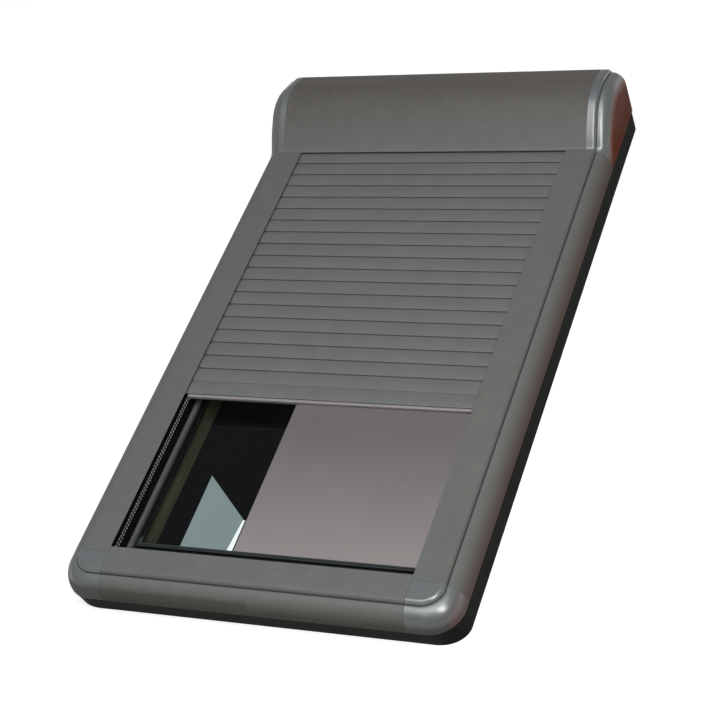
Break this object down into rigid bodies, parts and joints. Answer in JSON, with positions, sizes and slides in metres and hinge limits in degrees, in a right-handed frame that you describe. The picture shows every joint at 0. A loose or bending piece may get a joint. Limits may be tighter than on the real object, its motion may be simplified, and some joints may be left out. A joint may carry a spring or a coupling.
{
  "type": "exterior roller shutter",
  "caption": "Exterior roller shutter for a roof window, with rounded cladding, headbox, motor roller, slat curtain in guide rails and the glazed light under it.",
  "frame": {"origin": "middle of the underside, in the plane that lies on the roof", "axes": "+Z away from the roof, -Y towards the eaves end with the opening, +Y towards the ridge end with the headbox, +X to the right seen from the eaves"},
  "size_m": [0.825, 1.432, 0.1802],
  "materials": {
    "cladding": "fine textured powder coat, grey with a slight green cast",
    "headbox_paint": "smooth satin powder coat, warm grey",
    "moulded_grey": "moulded weatherproof plastic, satin gloss",
    "slat_paint": "stove enamel on rolled aluminium, satin",
    "seal_strip": "plain aluminium, satin",
    "black_plastic": "matte moulded and extruded plastic",
    "black_rubber": "matte sealing rubber",
    "brush_pile": "short dense nylon pile",
    "glass": "clear sun-control glass with a bright reflection",
    "timber": "lacquered pine",
    "zinc_steel": "zinc plated sheet and tube",
    "motor_paint": "light enamel"
  },
  "bodies": {
    "shutter_frame": {"side_cover_lower_right": "cladding", "side_cover_lower_left": "cladding", "side_cover_upper_right": "cladding", "side_cover_upper_left": "cladding", "bottom_cover": "cladding", "corner_cover_right": "moulded_grey", "corner_cover_left": "moulded_grey", "base_side_right": "black_plastic", "base_side_left": "black_plastic", "base_bottom": "black_plastic", "base_corner_right": "black_plastic", "base_corner_left": "black_plastic", "base_rear": "black_plastic", "headbox_cover": "headbox_paint", "headbox_end_right": "moulded_grey", "headbox_end_left": "moulded_grey", "guide_rail_right": "black_plastic", "guide_rail_left": "black_plastic", "brush_seal_right": "brush_pile", "brush_seal_left": "brush_pile", "inner_frame": "timber", "glass_pane": "glass", "sash_cover": "cladding", "glazing_gasket": "black_rubber", "headbox_floor": "zinc_steel", "bearing_plate_right": "zinc_steel", "bearing_plate_left": "zinc_steel", "tube_motor": "motor_paint", "motor_head": "black_plastic", "idler_pin": "zinc_steel"},
    "curtain": {"slat_01": "slat_paint", "slat_02": "slat_paint", "slat_03": "slat_paint", "slat_04": "slat_paint", "slat_05": "slat_paint", "slat_06": "slat_paint", "slat_07": "slat_paint", "slat_08": "slat_paint", "slat_09": "slat_paint", "slat_10": "slat_paint", "slat_11": "slat_paint", "slat_12": "slat_paint", "slat_13": "slat_paint", "slat_14": "slat_paint", "slat_15": "slat_paint", "slat_16": "slat_paint", "slat_17": "slat_paint", "slat_18": "slat_paint", "slat_19": "slat_paint", "slat_20": "slat_paint", "slat_21": "slat_paint", "slat_22": "slat_paint", "end_slat": "slat_paint", "end_slat_seal": "seal_strip"},
    "roller": {"roller_tube": "zinc_steel", "wound_slats": "slat_paint", "drive_crown": "black_plastic", "drive_wheel": "black_plastic", "idler_cap": "black_plastic"}
  },
  "joints": [
    {"name": "curtain_slide", "type": "slide", "parent": "shutter_frame", "child": "curtain", "axis": [0, 1, 0], "range_m": [-0.105, 0.082]},
    {"name": "roller_turn", "type": "hinge", "parent": "shutter_frame", "child": "roller", "pos_m": [0, 0.62221, 0.13725], "axis": [1, 0, 0], "range_deg": [-175, 137]}
  ],
  "couplings": [
    {"joint": "roller_turn", "follows": "curtain_slide", "rad_per_m": 28.986}
  ]
}
